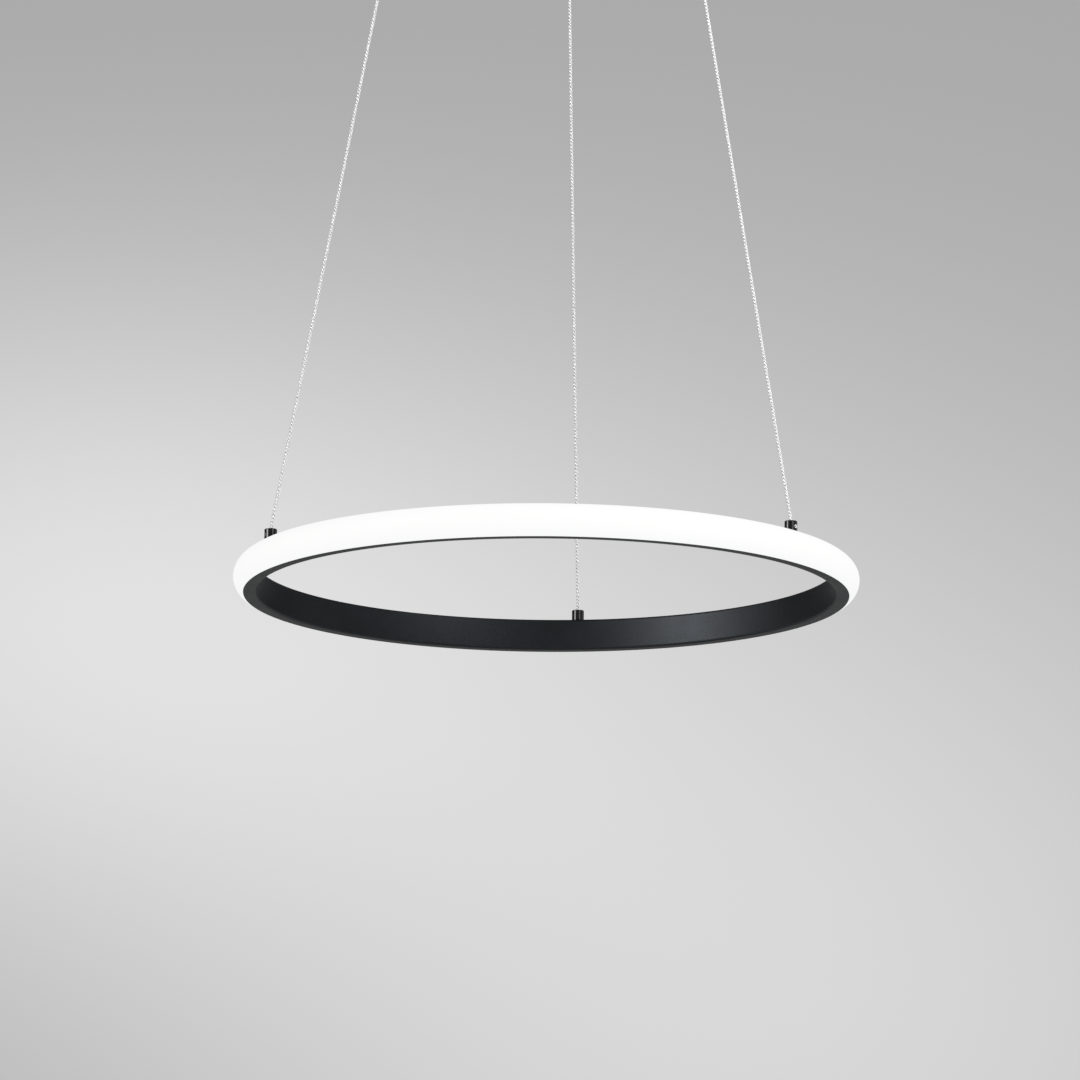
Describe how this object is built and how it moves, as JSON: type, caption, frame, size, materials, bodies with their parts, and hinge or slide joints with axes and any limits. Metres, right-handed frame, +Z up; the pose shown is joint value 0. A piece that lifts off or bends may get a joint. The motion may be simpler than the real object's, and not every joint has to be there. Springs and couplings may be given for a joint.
{
  "type": "led ring pendant light",
  "caption": "Slim round LED pendant: black channel ring with a glowing opal outer band, hung on taut cables from a round ceiling canopy whose push-release grippers set its height.",
  "frame": {"origin": "centre of the ceiling plate's top face, on the ceiling", "axes": "+Z up into the ceiling, +Y towards cable 1, the lamp hangs below along -Z"},
  "size_m": [0.4, 0.3998, 0.7],
  "materials": {
    "black_coat": "satin black powder coat",
    "black_screw": "black",
    "black_anodised": "gloss black anodised",
    "opal_glow": "opal, lit from inside",
    "strip_white": "white solder mask",
    "led_phosphor": "phosphor",
    "cable_steel": "bright strands in a clear sheath",
    "zinc_steel": "zinc plated",
    "spring_steel": "bright",
    "nickel_plate": "nickel plated",
    "brass_part": "plain",
    "tinned_copper": "tinned",
    "black_nylon": "matt",
    "white_plastic": "matt",
    "natural_plastic": "matt",
    "grey_lead": "soft",
    "green_lead": "soft",
    "red_lead": "soft"
  },
  "bodies": {
    "canopy": {"ceiling_plate": "zinc_steel", "canopy_cover": "black_coat", "canopy_screws": "black_screw", "entry_bush": "black_nylon", "led_driver": "white_plastic", "driver_screws": "zinc_steel", "terminal_block": "natural_plastic", "terminal_screws": "zinc_steel", "terminal_fixing_screw": "zinc_steel", "earth_screw": "brass_part", "mains_leads": "grey_lead", "earth_lead": "green_lead", "output_leads": "red_lead", "lead_crimps": "tinned_copper", "gripper_nuts": "zinc_steel", "gripper_end_plugs": "brass_part", "cable_upper_tails": "cable_steel", "ceiling_gripper_1": "black_anodised", "plunger_spring_1": "spring_steel", "cable_1": "cable_steel", "ceiling_gripper_2": "black_anodised", "plunger_spring_2": "spring_steel", "cable_2": "cable_steel", "ceiling_gripper_3": "black_anodised", "plunger_spring_3": "spring_steel", "cable_3": "cable_steel"},
    "ring": {"ring_profile": "black_coat", "diffuser_ring": "opal_glow", "led_strip": "strip_white", "led_chips": "led_phosphor", "strip_resistors": "black_nylon", "gripper_blocks": "zinc_steel", "grub_screws": "zinc_steel", "cable_lower_tails": "cable_steel", "feed_wires": "tinned_copper", "ring_gripper_1": "black_anodised", "ring_gripper_2": "black_anodised", "ring_gripper_3": "black_anodised"},
    "release_1": {"release_plunger_1": "nickel_plate", "lock_balls_1": "nickel_plate"},
    "release_2": {"release_plunger_2": "nickel_plate", "lock_balls_2": "nickel_plate"},
    "release_3": {"release_plunger_3": "nickel_plate", "lock_balls_3": "nickel_plate"}
  },
  "joints": [
    {"name": "height_adjust", "type": "slide", "parent": "canopy", "child": "ring", "axis": [0, 0, 1], "range_m": [0, 0.25], "deforming": ["cable_1", "cable_2", "cable_3"]},
    {"name": "release_1", "type": "slide", "parent": "canopy", "child": "release_1", "axis": [0, 0, 1], "range_m": [0, 0.0025], "stiffness_N_per_m": 600, "springref_m": -0.002, "deforming": ["plunger_spring_1"]},
    {"name": "release_2", "type": "slide", "parent": "canopy", "child": "release_2", "axis": [0, 0, 1], "range_m": [0, 0.0025], "stiffness_N_per_m": 600, "springref_m": -0.002, "deforming": ["plunger_spring_2"]},
    {"name": "release_3", "type": "slide", "parent": "canopy", "child": "release_3", "axis": [0, 0, 1], "range_m": [0, 0.0025], "stiffness_N_per_m": 600, "springref_m": -0.002, "deforming": ["plunger_spring_3"]}
  ]
}
